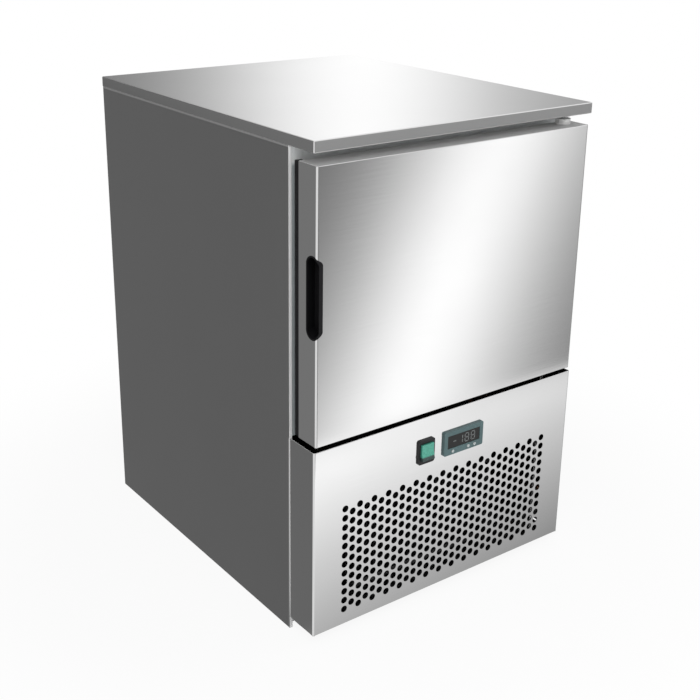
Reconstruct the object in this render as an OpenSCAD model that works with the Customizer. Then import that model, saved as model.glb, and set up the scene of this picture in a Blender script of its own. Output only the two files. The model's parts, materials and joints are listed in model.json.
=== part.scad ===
// Undercounter blast chiller: one solid door on the right-hand hinges, a stainless steel cabinet,
// and a machine compartment behind a perforated lower panel. Millimetres. +X is right, +Y is the
// back and +Z is up. The origin is the middle of the floor under the whole chiller.

/* [Cabinet] */
// Width over the worktop
body_w = 520; // [505:1:580]
// Depth of the worktop, front edge to back edge
body_d = 615; // [605:1:680]
// Height from the floor to the top of the worktop
body_h = 765; // [745:1:830]
// Thickness of the folded worktop
top_t = 17; // [13:1:22]
// Width of the lip folded back under the worktop
top_lip = 15; // [10:1:25]
// Sheet thickness of all panels
skin = 1; // [0.8:0.1:1.2]
// How far the side panels stand in from the worktop's ends
side_inset = 1; // [0:0.5:3]
// How far the side panels' front edges stand back from the worktop's front edge
front_set = 60; // [57:1:66]
// Width of the folded hem on a side panel's front edge
hem_w = 5.5; // [5:0.5:8]
// Depth of that hem
hem_d = 12; // [10:1:16]
// How far the front frame's face lies behind the hems
frame_recess = 1; // [0.5:0.5:2]
// Insulated side wall, from the worktop's end to the chamber liner
wall_side = 60; // [52:1:66]
// Insulated back wall, from the cabinet's back to the chamber liner
wall_back = 60; // [50:1:70]
// Corner radius of the chamber
chamber_r = 14; // [8:1:20]
// Depth of the plastic strip round the chamber's mouth
breaker_d = 30; // [20:1:40]
// Thickness of that strip
breaker_t = 3; // [2:0.5:4]

/* [Door] */
// Thickness of the door without its gasket
door_t = 42; // [40:1:43]
// How far the door's edges stand in from the worktop's ends
door_inset = 5; // [3:1:8]
// Gap between the worktop and the door
head_gap = 17; // [14:1:20]
// Gap between the door and the lower panel
door_gap = 7; // [6.5:0.5:12]
// How far the door laps over the chamber's mouth, above and below
door_lap = 29; // [28:1:34]
// Bend radius of the upright edges of the door and the lower panel
bend_r = 3; // [2:0.5:4]
// Hinge axis, from the door's right-hand edge
hinge_in = 25.5; // [22:0.5:26]
// Hinge axis, behind the door's front
hinge_dep = 30; // [28:1:31]
// Hinge pin diameter
pin_d = 8; // [6:0.5:9]
// Radial clearance of a pin or shaft in its bush
run_fit = 0.05; // [0.03:0.01:0.08]
// Thickness of the hinge plates
hinge_t = 3; // [2.5:0.5:4]
// Diameter of the hinge bushes' heads
bush_d = 23; // [18:1:25]
// Height of the white bush on the door's top
bush_h = 8; // [5:1:10]
// Gasket's distance in from the door's edges
seal_in = 12; // [11:1:14]
// Width of the gasket
seal_w = 15; // [13:1:16]
// Height of the dished middle of the door's inner panel
dish_h = 13; // [8:1:15]

/* [Handle] */
// Height of the handle pocket
handle_h = 120; // [90:1:160]
// Height of the pocket's middle above the floor
handle_z = 548; // [480:1:600]
// Width that the pocket takes of the door's side
handle_side = 24; // [20:1:27]
// Width that the pocket takes of the door's front
handle_front = 10.5; // [8:0.5:14]
// Depth of the finger pocket from its mouth
pocket_d = 19; // [14:1:22]
// Wall of the moulded pocket
pocket_t = 2.2; // [1.5:0.1:3]

/* [Lower panel and grille] */
// Height of the lower panel's top edge
panel_top = 321; // [310:1:326]
// Clearance under the lower panel
panel_clear = 19; // [12:1:22]
// How far the lower panel stands in from the worktop's ends
panel_inset = 2; // [1:0.5:4]
// Diameter of a grille hole
hole_d = 11; // [8:0.5:12]
// Distance between neighbouring holes of the grille
hole_pitch = 15.5; // [14.5:0.1:16]
// Columns of holes
hole_cols = 31; // [15:2:31]
// Holes in a full column
hole_rows = 12; // [6:1:12]
// Grille's middle, right of the chiller's middle
grille_x = 0; // [-6:1:6]
// Height of the grille's middle above the floor
grille_z = 130; // [126:0.5:134]

/* [Controls] */
// Height of the controls' middle above the floor
control_z = 265; // [262:1:280]
// Middle of the rocker switch, right of the chiller's middle
switch_x = -51; // [-120:1:-45]
// Width of the switch frame
switch_w = 32; // [31:1:40]
// Height of the switch frame
switch_h = 40; // [38:1:46]
// How far the switch frame stands in front of the panel
switch_t = 3; // [2.8:0.1:5]
// Width of the rocker
rocker_w = 23.4; // [20:0.1:23.6]
// Height of the rocker
rocker_h = 26; // [24:0.1:30]
// Radius from the rocker's pivot to its raised ends
rocker_reach = 6; // [5:0.5:8]
// How far in front of the panel the rocker pivots
rocker_pivot = 1.5; // [1.4:0.05:1.6]
// Tilt of the rocker to either side
rocker_tilt = 7; // [4:0.5:9]
// Middle of the controller, right of the chiller's middle
control_x = 24; // [20:1:120]
// Width of the controller's frame
control_w = 80; // [78:1:90]
// Height of the controller's frame
control_h = 40; // [38:1:46]
// How far the controller's frame stands in front of the panel
control_t = 3.6; // [3.4:0.1:6]
// Width of the display window
window_w = 66; // [50:1:68]
// Height of the display window
window_h = 21.5; // [16:0.5:22]
// Diameter of a key
key_d = 5; // [4:0.5:6]
// Travel of a key
key_travel = 0.8; // [0.5:0.1:1]

/* [Chamber fittings] */
// Levels for trays
tray_levels = 4; // [2:1:4]
// Room between the top tray level and the chamber's roof
tray_head = 69; // [60:1:90]
// First tray level above the chamber's floor
tray_z = 35; // [25:1:40]
// Length of the studs that hold the racks off the chamber's walls
stud_l = 12; // [8:1:20]
// Width of the ledge that a tray slides on
ledge_w = 20; // [14:1:24]
// Gap between the racks and the evaporator cover
rack_gap = 21; // [16:1:60]
// Depth of the evaporator's space, behind its cover
evap_room = 145; // [135:1:150]
// Diameter of the fan openings
fan_mouth = 200; // [180:1:204]
// Diameter of the fan blades
fan_d = 188; // [160:1:190]
// Diameter of the fan motors
motor_d = 72; // [60:1:80]
// Diameter of a motor's shaft
shaft_d = 8; // [6:0.5:10]

/* [Machine compartment] */
// Width of the condenser between its end plates
cond_w = 320; // [280:1:330]
// Height of the condenser
cond_h = 218; // [210:1:235]
// Condenser, behind the worktop's front edge
cond_dep = 84; // [80:1:90]
// Diameter of the compressor's shell
comp_d = 166; // [140:1:175]
// Height of the compressor's shell
comp_h = 190; // [160:1:215]
// Bore of the leg inserts, for an M10 stud
leg_bore = 10; // [8:0.5:12]
// Distance between the left and right leg inserts
leg_span_x = 430; // [380:1:450]
// Distance between the front and back leg inserts
leg_span_y = 420; // [380:1:440]
// Bore of the cable gland
gland_bore = 10; // [8:0.5:13]
// Outer diameter of the suction pipe
suction_d = 12; // [10:0.5:14]
// Outer diameter of the liquid and discharge pipes
liquid_d = 8; // [6:0.5:10]

/* [Hidden] */
$fn = 48;

eps = 0.01;
seat = 0.3;
steel = "#c9cbcb";
steel_dark = "#8e9192";
copper = "#b87752";
black = "#202224";
foam = "#e3d9a6";
white = "#eceeee";

proud = rocker_pivot + rocker_reach * cos(rocker_tilt) + rocker_h / 2 * sin(rocker_tilt);
half_w = body_w / 2;
front_y = (proud - body_d) / 2;
back_y = front_y + body_d;
top_z = body_h - top_t;
side_x = half_w - side_inset;
inner_x = side_x - skin;
hem_x = side_x - hem_w;
hem_y = front_y + front_set + hem_d;
frame_y = front_y + front_set + frame_recess;
deck_z = panel_top + 2;

door_x = half_w - door_inset;
door_z0 = panel_top + door_gap;
door_z1 = top_z - head_gap;
door_h = door_z1 - door_z0;
hinge_x = door_x - hinge_in;
hinge_y = front_y + hinge_dep;
chamber_x = half_w - wall_side;
chamber_z0 = door_z0 + door_lap;
chamber_z1 = door_z1 - door_lap;
chamber_h = chamber_z1 - chamber_z0;
chamber_y = back_y - wall_back;
floor_z = chamber_z0 + skin;

rear_recess = 22;
rear_y = back_y - rear_recess;
rear_flange = 16;
pan_t = 1.5;
pan_rim = 25;
pan_y1 = rear_y - skin;
panel_x = half_w - panel_inset;
ear_x = panel_x - 108;
ear_y = front_y + 26;
leg_y = (hem_y + pan_y1) / 2;
insert_d = leg_bore + 4;

cover_y = chamber_y - evap_room;
fan_z = (chamber_z0 + chamber_z1) / 2;
fan_t = 24;
hub_d = 46;
motor_l = 36;
coil_y = cover_y + 74;
coil_w = 2 * chamber_x - 110;
coil_h = chamber_h - 60;
coil_z = chamber_z0 + 30;
coil_d = chamber_y - skin - coil_y;

cond_y = front_y + cond_dep;
cond_d = 40;
cond_z = pan_t + 14;
cond_fan_z = cond_z + cond_h / 2;
shroud_d = 26;
shroud_y = cond_y + cond_d;
comp_x = 92;
comp_back = 193;
comp_y = rear_y - comp_back;
foot_h = 16;
comp_z = pan_t + foot_h + 3;
riser_x = chamber_x - skin - 10;
suction_y = coil_y + 0.75 * coil_d;
drain_x = -150;
drain_back = 93;
drain_y = rear_y - drain_back;
drain_d = 22;
basin_w = 92;
basin_d = 120;
basin_top = 45;
receiver_x = -60;
receiver_back = 153;
receiver_y = rear_y - receiver_back;
receiver_d = 76;
receiver_h = 150;
drier_y = suction_y - 26;
drier_z0 = 130;
drier_z1 = 226;
box_back = 343;
box_w = 96;
box_d = 130;
box_h = 110;
terminal_d = 24;
terminal_w = 60;
terminal_h = 74;

// ---- shared shapes ----------------------------------------------------------------------------

// A box between two corners.
module block(lo, hi) {
    translate(lo) cube(hi - lo);
}

// A flat outline drawn in X and Z, made solid from y0 towards the back.
module upright_sheet(y0, t) {
    translate([0, y0 + t, 0]) rotate([90, 0, 0]) linear_extrude(t) children();
}

module on_both_sides() {
    children();
    mirror([1, 0, 0]) children();
}

// A slot with round ends, centred on its middle.
module slot(w, h) {
    square([w - h, h], center = true);
    for (x = [-1, 1]) translate([x * (w - h) / 2, 0]) circle(d = h, $fn = 24);
}

// A rectangle with round corners, centred on its middle.
module round_rect(w, h, r) {
    square([w - 2 * r, h], center = true);
    square([w, h - 2 * r], center = true);
    for (x = [-1, 1], y = [-1, 1])
        translate([x * (w / 2 - r), y * (h / 2 - r)]) circle(r);
}

// The plan of a folded tray: front corners bent to a radius, open to the back.
module folded_plan(w, d, r) {
    translate([-w / 2, r]) square([w, d - r]);
    translate([-w / 2 + r, 0]) square([w - 2 * r, r + eps]);
    for (x = [-1, 1]) translate([x * (w / 2 - r), r]) circle(r);
}

// The chamber's mouth as an outline in X and Z, smaller all round by inset.
module chamber_outline(inset) {
    translate([0, (chamber_z0 + chamber_z1) / 2])
        round_rect(2 * (chamber_x - inset), chamber_h - 2 * inset, chamber_r - inset);
}

// A tube along square corners, each bent to radius r.
module pipe(pts, d, r) {
    last = len(pts) - 1;
    for (i = [0 : last - 1]) {
        u = (pts[i + 1] - pts[i]) / norm(pts[i + 1] - pts[i]);
        a = pts[i] + u * (i == 0 ? 0 : r);
        b = pts[i + 1] - u * (i == last - 1 ? 0 : r);
        along(a, u) cylinder(h = norm(b - a), d = d);
    }
    for (i = [1 : last - 1]) {
        u = (pts[i] - pts[i - 1]) / norm(pts[i] - pts[i - 1]);
        v = (pts[i + 1] - pts[i]) / norm(pts[i + 1] - pts[i]);
        w = cross(-v, u);
        c = pts[i] - u * r + v * r;
        multmatrix([[-v.x, u.x, w.x, c.x], [-v.y, u.y, w.y, c.y], [-v.z, u.z, w.z, c.z]])
            rotate_extrude(angle = 90) translate([r, 0]) circle(d = d);
    }
}

// Places children so that their +Z runs along the unit axis u, from point p.
module along(p, u) {
    translate(p) rotate([0, acos(u.z), atan2(u.y, u.x)]) children();
}

// A bank of tubes through a finned block, in X by Y by Z of w by d by h.
tube_end = 8;
function tube_rows(h) = 2 * floor(h / 68);
function low_port(z, h) = z + h / tube_rows(h) / 2;
function high_port(z, h) = z + h - h / tube_rows(h) / 2;
module tube_places(h, d) {
    rows = tube_rows(h);
    for (r = [0 : rows - 1], c = [-1, 1])
        translate([c * d / 4, (r + 0.5) * h / rows]) children();
}

module fin_bank(w, h, d, fins, foot) {
    for (i = [0 : fins]) {
        x = -w / 2 + i * w / fins;
        is_end = i == 0 || i == fins;
        t = is_end ? 1.5 : 0.6;
        translate([x - t / 2, 0, 0]) rotate([90, 0, 90]) linear_extrude(t) difference() {
            translate([-d / 2, is_end ? -foot : 0]) square([d, h + (is_end ? foot : 0)]);
            tube_places(h, d) circle(d = 9.6, $fn = 24);
        }
    }
}

// One winding of tube through the bank. Its two open ends are at +X, in the back column.
module tube_bank(w, h, d) {
    turn = 9;
    x = w / 2 + tube_end + turn;
    y = d / 4;
    rise = h / tube_rows(h);
    pairs = tube_rows(h) / 2;
    loops = [for (i = [0 : pairs - 1]) let (z = (2 * i + 0.5) * rise) each [[x, y, z], [-x, y, z],
        [-x, -y, z], [x, -y, z], [x, -y, z + rise], [-x, -y, z + rise], [-x, y, z + rise], [x, y, z + rise]]];
    last = len(loops) - 1;
    ends = [for (i = [0 : last]) i == 0 || i == last ? [x - turn, y, loops[i].z] : loops[i]];
    pipe(ends, 9.4, turn, $fn = 16);
}

// One curved and pitched fan blade, pointing along +X, with the fan's axis along Y.
module blade(r_out) {
    camber = 60;
    intersection() {
        rotate([32, 0, 0]) translate([0, 0, -camber + 4]) rotate([0, 90, 0]) difference() {
            cylinder(h = r_out + 5, r = camber, $fn = 96);
            translate([0, 0, -1]) cylinder(h = r_out + 7, r = camber - 1.6, $fn = 96);
        }
        rotate([90, 0, 0]) translate([0, 0, -fan_t / 2]) linear_extrude(fan_t) intersection() {
            circle(r_out, $fn = 96);
            polygon([[14, -16], [14, 16], [r_out + 5, 58], [r_out + 5, -44]]);
        }
    }
}

// A five-bladed fan about its own middle, with its axis along Y and a blind bore from the back.
module fan() {
    difference() {
        union() {
            rotate([90, 0, 0]) cylinder(h = fan_t - 4, d = hub_d, center = true);
            for (i = [0 : 4]) rotate([0, i * 72, 0]) blade(fan_d / 2);
        }
        translate([0, fan_t / 2, 0]) rotate([90, 0, 0]) cylinder(h = fan_t - 6, d = shaft_d + 2 * run_fit);
    }
}

// A motor with its shaft towards the front and a four-armed bracket that ends on a sheet at y_on.
module fan_motor(y0, y_on) {
    arm_r = fan_mouth / 2 + 7;
    translate([0, y0 + motor_l, 0]) rotate([90, 0, 0]) cylinder(h = motor_l, d = motor_d);
    translate([0, y0 + motor_l + 5, 0]) rotate([90, 0, 0]) cylinder(h = 5 + eps, d = motor_d - 22);
    translate([0, y0 + eps, 0]) rotate([90, 0, 0]) cylinder(h = fan_t - 9, d = shaft_d);
    for (a = [45 : 90 : 315]) rotate([0, a, 0]) {
        block([0, y0 + 4, -7], [arm_r, y0 + 6, 7]);
        block([arm_r - 2, y_on, -7], [arm_r, y0 + 6, 7]);
    }
}

// ---- cabinet ----------------------------------------------------------------------------------

module worktop() {
    color(steel) difference() {
        block([-half_w, front_y, top_z], [half_w, back_y, body_h]);
        block([-half_w + skin, front_y + skin, top_z + skin], [half_w - skin, back_y - skin, body_h - skin]);
        block([-half_w + top_lip, front_y + top_lip, top_z - 1],
            [half_w - top_lip, back_y - top_lip, top_z + skin + eps]);
    }
}

module worktop_core() {
    color("#b59a72") block([-half_w + skin, front_y + skin, top_z + skin],
        [half_w - skin, back_y - skin, body_h - skin]);
}

// Side sheet with its front hem, and a flange for the back panel above and the rear cover below.
module side_panel() {
    block([inner_x, front_y + front_set, 0], [side_x, back_y, top_z]);
    difference() {
        block([hem_x, front_y + front_set, 0], [side_x, hem_y, top_z]);
        block([hem_x + skin, front_y + front_set + skin, -1], [inner_x, hem_y - skin, top_z + 1]);
    }
    block([side_x - rear_flange, back_y - 2 * skin, deck_z + skin], [side_x, back_y - skin, top_z]);
    block([side_x - rear_flange, pan_y1, 0], [side_x, rear_y, deck_z]);
}

module side_panel_left() {
    color(steel_dark) mirror([1, 0, 0]) side_panel();
}

module side_panel_right() {
    color(steel_dark) side_panel();
}

module back_panel() {
    color(steel_dark) block([-inner_x, back_y - skin, deck_z + skin], [inner_x, back_y, top_z]);
}

// Face round the chamber's mouth, with a return on its outer edges.
module front_frame() {
    color(steel) difference() {
        union() {
            upright_sheet(frame_y, skin) difference() {
                translate([-hem_x, deck_z]) square([2 * hem_x, top_z - deck_z]);
                chamber_outline(0);
            }
            difference() {
                block([-hem_x, frame_y, deck_z], [hem_x, hem_y, top_z]);
                block([-hem_x + skin, frame_y - 1, deck_z + skin], [hem_x - skin, hem_y + 1, top_z - skin]);
            }
        }
        hinge_screw_places() cylinder(h = 3 * skin, d = screw_d, center = true);
    }
}

module breaker_strip() {
    color(black) upright_sheet(frame_y, breaker_d) difference() {
        chamber_outline(0);
        chamber_outline(breaker_t);
    }
}

module cabinet_insulation() {
    color(foam) difference() {
        union() {
            block([-inner_x, hem_y, deck_z + skin], [inner_x, back_y - 2 * skin, top_z]);
            block([-hem_x + skin, frame_y + skin, deck_z + skin], [hem_x - skin, hem_y + eps, top_z - skin]);
        }
        upright_sheet(frame_y, chamber_y - frame_y) chamber_outline(0);
        floor_holes(6);
        hinge_screw_places() cylinder(h = 40, d = screw_d + 1, center = true);
    }
}

// Holes through the chamber's floor for the drain spout and the two refrigerant pipes.
module floor_holes(extra) {
    translate([drain_x, drain_y, deck_z - 5]) cylinder(h = 60, d = drain_d + (extra > 2 ? 0 : extra));
    for (p = [[suction_y, suction_d], [drier_y, liquid_d]])
        translate([riser_x, p[0], deck_z - 5]) cylinder(h = 60, d = p[1] + extra);
}

// Chamber tub with round corners, a drain spout and two pipe holes.
module inner_liner() {
    color(steel) difference() {
        union() {
            difference() {
                upright_sheet(frame_y + breaker_d, chamber_y - frame_y - breaker_d) chamber_outline(0);
                upright_sheet(frame_y + breaker_d - 1, chamber_y - frame_y - breaker_d + 1 - skin)
                    chamber_outline(skin);
            }
            translate([drain_x, drain_y, deck_z - 8]) cylinder(h = chamber_z0 - deck_z + 8 + skin / 2, d = drain_d);
        }
        translate([drain_x, drain_y, deck_z - 9]) cylinder(h = chamber_z0 - deck_z + 20, d = drain_d - 4);
        for (p = [[suction_y, suction_d], [drier_y, liquid_d]])
            translate([riser_x, p[0], chamber_z0 - 1]) cylinder(h = 5, d = p[1] + 1);
    }
}

// Sheet between the insulated chamber and the machine compartment.
module compartment_deck() {
    color(steel_dark) difference() {
        block([-inner_x, hem_y, deck_z], [inner_x, back_y, deck_z + skin]);
        floor_holes(1);
    }
}

// Floor of the machine compartment, with its rim and two ears that carry the lower panel.
module base_pan() {
    color("#9a9c9c") difference() {
        union() {
            difference() {
                block([-inner_x, hem_y, 0], [inner_x, pan_y1, pan_rim]);
                block([-inner_x + pan_t, hem_y + pan_t, pan_t], [inner_x - pan_t, pan_y1 - pan_t, pan_rim + 1]);
            }
            for (x = [-ear_x, ear_x])
                block([x - 20, front_y + 12, panel_clear + skin], [x + 20, hem_y + 1, panel_clear + skin + pan_t]);
        }
        leg_places() translate([0, 0, -1]) cylinder(h = 5, d = insert_d);
        for (x = [-ear_x, ear_x])
            translate([x, ear_y, panel_clear - 1]) cylinder(h = 8, d = screw_d);
    }
}

module leg_places() {
    for (x = [-1, 1], y = [-1, 1])
        translate([x * leg_span_x / 2, leg_y + y * leg_span_y / 2, 0]) children();
}

// Threaded inserts for legs or castors, flush with the floor of the pan.
module leg_inserts() {
    color(steel) leg_places() difference() {
        union() {
            cylinder(h = 16, d = insert_d);
            translate([0, 0, pan_t]) cylinder(h = 2.5, d = insert_d + 5);
        }
        translate([0, 0, -1]) cylinder(h = 18, d = leg_bore);
    }
}

// Louvred sheet at the back of the machine compartment.
module rear_cover() {
    color(steel_dark) upright_sheet(rear_y, skin) difference() {
        translate([-inner_x, 12]) square([2 * inner_x, deck_z - 12]);
        for (i = [-2 : 2], k = [0 : 10]) translate([i * 75, 110 + k * 15]) slot(56, 6);
        translate([gland_x, gland_z]) circle(d = gland_bore + 6);
        cover_screw_places() circle(d = screw_d);
    }
}

gland_x = -200;
gland_z = 60;
screw_d = 4;
head_d = 7.6;
hinge_flange = 2;

module cover_screw_places() {
    for (x = [-1, 1], z = [40, deck_z - 24]) translate([x * (side_x - rear_flange / 2), z]) children();
}

// Dome-headed screws of the rear cover.
module cover_screws() {
    color(steel) upright_sheet(rear_y + skin, 2) cover_screw_places() circle(d = 8);
    color(steel) upright_sheet(rear_y, skin) cover_screw_places() circle(d = screw_d - 0.2);
}

// Hexagonal gland in the rear cover, with its nut inside. It has no cable.
module cable_gland() {
    color(black) translate([gland_x, rear_y, gland_z]) rotate([-90, 0, 0]) difference() {
        union() {
            translate([0, 0, skin]) cylinder(h = 5, d = gland_bore + 14, $fn = 6);
            translate([0, 0, skin + 5]) cylinder(h = 10, d1 = gland_bore + 11, d2 = gland_bore + 6);
            translate([0, 0, -8]) cylinder(h = 10, d = gland_bore + 5.6);
            translate([0, 0, -5]) cylinder(h = 5, d = gland_bore + 14, $fn = 6);
        }
        translate([0, 0, -9]) cylinder(h = 30, d = gland_bore);
    }
}

// ---- chamber ----------------------------------------------------------------------------------

rack_y = frame_y + 8;
rack_d = cover_y - rack_y - rack_gap;
rack_bar = 3;
rack_x = chamber_x - skin - stud_l - rack_bar;
ledge_t = 2;
tray_z0 = floor_z + tray_z;
tray_pitch = (chamber_z1 - tray_head - tray_z0) / (tray_levels - 1);
upright_z0 = chamber_z0 + 14;
upright_z1 = chamber_z1 - 14;
stud_z = [upright_z0 + 12, upright_z1 - 12];
upright_y = [frame_y + breaker_d + 10, rack_y + rack_d - 30];

// Two uprights, a flat ledge for each tray level, and a bar behind the ledges that stops the trays.
module rack() {
    for (y = upright_y) block([rack_x - eps, y - 9, upright_z0], [rack_x + rack_bar, y + 9, upright_z1]);
    for (i = [0 : tray_levels - 1]) {
        z = tray_z0 + i * tray_pitch;
        block([rack_x - ledge_w, rack_y, z], [rack_x, rack_y + rack_d - eps, z + ledge_t]);
    }
    block([rack_x - ledge_w, rack_y + rack_d - ledge_t, tray_z0],
        [rack_x, rack_y + rack_d, tray_z0 + (tray_levels - 1) * tray_pitch + 16]);
}

module rack_left() {
    color(steel) mirror([1, 0, 0]) rack();
}

module rack_right() {
    color(steel) rack();
}

// Studs that hold the racks off the chamber's walls.
module rack_studs() {
    color(steel) on_both_sides() for (y = upright_y, z = stud_z)
        translate([rack_x + rack_bar, y, z]) rotate([0, 90, 0])
            cylinder(h = stud_l, d = 9);
}

// Sheet in front of the evaporator, with the fan's mouth, return slots and side flanges.
module evaporator_cover() {
    cover_x = chamber_x - skin;
    slot_x = (fan_mouth / 2 + cover_x) / 2;
    cover_z0 = floor_z + 16;
    cover_z1 = chamber_z1 - 16;
    slot_pitch = (cover_z1 - cover_z0 - 72) / 10;
    color(steel) {
        upright_sheet(cover_y, skin) difference() {
            translate([-cover_x, cover_z0]) square([2 * cover_x, cover_z1 - cover_z0]);
            translate([0, fan_z]) circle(d = fan_mouth, $fn = 96);
            for (x = [-slot_x, slot_x], i = [-5 : 5]) translate([x, fan_z + i * slot_pitch]) slot(62, 8);
        }
        on_both_sides() block([cover_x - skin, cover_y, cover_z0], [cover_x, cover_y + 24, cover_z1]);
    }
}

// Guard of rings and spokes on the evaporator cover.
module fan_guard() {
    wire = 2.6;
    guard_r = fan_mouth / 2 + 4;
    ring_n = 7;
    color(steel) translate([0, cover_y, fan_z]) {
        rotate([90, 0, 0]) for (i = [0 : ring_n - 1]) linear_extrude(wire) difference() {
            circle(guard_r - i * 13.6, $fn = 96);
            circle(guard_r - i * 13.6 - wire, $fn = 96);
        }
        for (a = [0 : 60 : 120]) rotate([0, a, 0])
            block([-guard_r, -2 * wire + 1, -wire / 2], [guard_r, -wire + 1, wire / 2]);
    }
}

module evaporator_fan() {
    color("#3b3e40") translate([0, cover_y + skin + 2 + fan_t / 2, fan_z]) fan();
}

module evaporator_motor() {
    color("#5a5e61") translate([0, 0, fan_z]) fan_motor(cover_y + skin + fan_t + 5, cover_y + skin);
}

// Aluminium fins between two end plates that stand on the chamber's back wall.
module evaporator_fins() {
    color("#b9bdbf") translate([0, coil_y + coil_d / 2, coil_z])
        fin_bank(coil_w, coil_h, coil_d, 30, 0);
}

module evaporator_tubes() {
    color(copper) translate([0, coil_y + coil_d / 2, coil_z]) tube_bank(coil_w, coil_h, coil_d);
}

// ---- machine compartment ----------------------------------------------------------------------

module condenser_fins() {
    color("#4a4d4f") translate([0, cond_y + cond_d / 2, cond_z])
        fin_bank(cond_w, cond_h, cond_d, 40, cond_z - pan_t);
}

module condenser_tubes() {
    color(copper) translate([0, cond_y + cond_d / 2, cond_z]) tube_bank(cond_w, cond_h, cond_d);
}

// Sheet hood that leads the air from the condenser into the fan.
module condenser_shroud() {
    hood_w = cond_w + 1.5;
    color("#3f4244") {
        upright_sheet(shroud_y + shroud_d - skin, skin) difference() {
            translate([-hood_w / 2, cond_z]) square([hood_w, cond_h]);
            translate([0, cond_fan_z]) circle(d = fan_mouth, $fn = 96);
        }
        upright_sheet(shroud_y, shroud_d) difference() {
            translate([-hood_w / 2, cond_z]) square([hood_w, cond_h]);
            translate([-hood_w / 2 + skin, cond_z + skin]) square([hood_w - 2 * skin, cond_h - 2 * skin]);
        }
    }
}

module condenser_fan() {
    color("#2c2f31") translate([0, shroud_y + shroud_d + 2 + fan_t / 2, cond_fan_z]) fan();
}

module condenser_motor() {
    color("#5a5e61") translate([0, 0, cond_fan_z])
        fan_motor(shroud_y + shroud_d + fan_t + 5, shroud_y + shroud_d);
}

seam = 4;

// Hermetic shell: two drawn halves with a weld seam, a foot plate and two pipe stubs.
module compressor() {
    r = comp_d / 2;
    seam_z = comp_h / 2;
    color("#1d1f21") translate([comp_x, comp_y, comp_z]) difference() {
        union() {
            intersection() {
                translate([0, 0, comp_h / 2]) sphere(r = r * 1.18);
                cylinder(h = comp_h, r = r);
            }
            translate([0, 0, seam_z - 4]) cylinder(h = 8, r = r + seam);
            translate([-105, -70, 0]) cube([210, 140, 3]);
            cylinder(h = 40, r = r * 0.72);
            translate([30, -r - 8, 120]) rotate([-90, 0, 0]) cylinder(h = 40, d = liquid_d + 3);
            translate([28, 30, comp_h - 20]) cylinder(h = 34, d = suction_d + 3);
        }
        comp_foot_places() translate([0, 0, -1]) cylinder(h = 5, d = 14);
    }
}

module comp_foot_places() {
    for (x = [-1, 1], y = [-1, 1]) translate([x * 90, y * 55, 0]) children();
}

// Rubber grommets that carry the compressor's foot plate in their necks.
module compressor_feet() {
    plate_t = 3;
    rest = comp_z - pan_t;
    color(black) translate([comp_x, comp_y, pan_t]) comp_foot_places() difference() {
        union() {
            cylinder(h = rest - 6, d = 30);
            translate([0, 0, rest - 6 - eps]) cylinder(h = 6 + eps, d = 24);
            translate([0, 0, rest - eps]) cylinder(h = plate_t + 2 * eps, d = 13.6);
            translate([0, 0, rest + plate_t]) cylinder(h = 4, d1 = 20, d2 = 15);
        }
        translate([0, 0, -1]) cylinder(h = 40, d = 7);
    }
}

// Cover over the compressor's terminals and its relay.
module terminal_box() {
    color(black) translate([comp_x, comp_y, comp_z + 60]) difference() {
        translate([-comp_d / 2 - terminal_d, -terminal_w / 2, 0])
            cube([terminal_d + 26, terminal_w, terminal_h]);
        translate([0, 0, -1]) cylinder(h = terminal_h + 2, r = comp_d / 2 + seam + seat / 2);
    }
}

// Upright liquid receiver on its stud, with a domed top and bottom.
module liquid_receiver() {
    r = receiver_d / 2;
    color("#303336") translate([receiver_x, receiver_y, pan_t]) {
        cylinder(h = 12, d = 20);
        translate([0, 0, 12]) intersection() {
            translate([0, 0, receiver_h / 2]) sphere(r = receiver_h / 2 + 3);
            cylinder(h = receiver_h, r = r);
        }
        translate([0, 0, receiver_h + 10]) cylinder(h = 12, d = liquid_d + 3);
        translate([0, -r + 2, 50]) rotate([90, 0, 0]) cylinder(h = 12, d = liquid_d + 3);
    }
}

// Copper drier with a cone at each end.
module filter_drier() {
    cone = 16;
    color(copper) translate([0, drier_y, drier_z0]) {
        cylinder(h = cone, d1 = liquid_d + 2, d2 = 26);
        translate([0, 0, cone]) cylinder(h = drier_z1 - drier_z0 - 2 * cone, d = 26);
        translate([0, 0, drier_z1 - drier_z0 - cone]) cylinder(h = cone, d1 = 26, d2 = liquid_d + 2);
    }
}

cond_port_x = cond_w / 2 + tube_end;
cond_port_y = cond_y + 0.75 * cond_d;
coil_port_x = coil_w / 2 + tube_end;
side_run_x = cond_port_x + 34;
bend = 16;

module discharge_pipe() {
    x1 = comp_x + 30;
    y1 = comp_y - comp_d / 2 - 8;
    z1 = comp_z + 120;
    z2 = high_port(cond_z, cond_h);
    color(copper) pipe([[x1, y1, z1], [x1, y1 - 50, z1], [side_run_x, y1 - 50, z1], [side_run_x, y1 - 50, z2],
        [side_run_x, cond_port_y, z2], [cond_port_x, cond_port_y, z2]], liquid_d, 0.75 * bend);
}

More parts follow.
